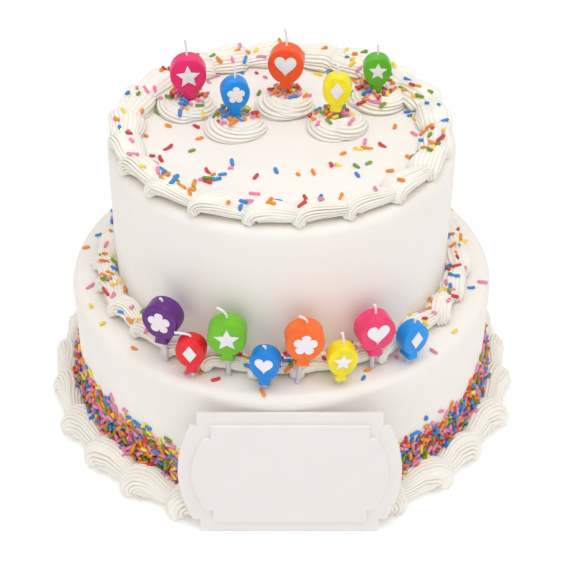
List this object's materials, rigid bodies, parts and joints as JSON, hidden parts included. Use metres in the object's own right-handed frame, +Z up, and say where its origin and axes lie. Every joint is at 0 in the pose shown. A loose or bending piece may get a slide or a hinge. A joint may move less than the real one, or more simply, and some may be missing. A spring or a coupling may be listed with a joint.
{
  "type": "two-tier cake",
  "caption": "Round two-tier cake in smooth white icing with piped shell borders, cream rosettes, bright sprinkles, balloon-shaped candles on picks and a blank white plaque leaning on its front",
  "frame": {"origin": "centre of the underside of the lower tier, on the axis that both tiers share, in the plane that the cake stands on", "axes": "+Z up along the tiers' axis; -Y out of the front, where the plaque leans; +X to the right as seen from the front"},
  "size_m": [0.3058, 0.3024, 0.2382],
  "materials": {
    "icing": "satin",
    "cream": "satin",
    "plaque": "satin",
    "pick": "gloss",
    "wick": "matte",
    "purple": "satin",
    "red": "satin",
    "green": "satin",
    "blue": "satin",
    "orange": "satin",
    "yellow": "satin",
    "pink": "satin",
    "azure": "satin",
    "rose": "satin",
    "sky": "satin",
    "coral": "satin",
    "lemon": "satin",
    "lime": "satin"
  },
  "bodies": {
    "root": {"lower_tier": "icing", "upper_tier": "icing", "base_border": "cream", "shelf_border": "cream", "rim_border": "cream", "rosette_1": "cream", "rosette_2": "cream", "rosette_3": "cream", "rosette_4": "cream", "rosette_5": "cream", "candle_purple": "purple", "candle_red": "red", "candle_green": "green", "candle_blue": "blue", "candle_orange": "orange", "candle_yellow": "yellow", "candle_pink": "pink", "candle_azure": "azure", "candle_rose": "rose", "candle_sky": "sky", "candle_coral": "coral", "candle_lemon": "lemon", "candle_lime": "lime", "wick_purple": "wick", "wick_red": "wick", "wick_green": "wick", "wick_blue": "wick", "wick_orange": "wick", "wick_yellow": "wick", "wick_pink": "wick", "wick_azure": "wick", "wick_rose": "wick", "wick_sky": "wick", "wick_coral": "wick", "wick_lemon": "wick", "wick_lime": "wick", "pick_purple": "pick", "pick_red": "pick", "pick_green": "pick", "pick_blue": "pick", "pick_orange": "pick", "pick_yellow": "pick", "pick_pink": "pick", "pick_azure": "pick", "pick_rose": "pick", "pick_sky": "pick", "pick_coral": "pick", "pick_lemon": "pick", "pick_lime": "pick", "plaque": "plaque"}
  },
  "joints": []
}
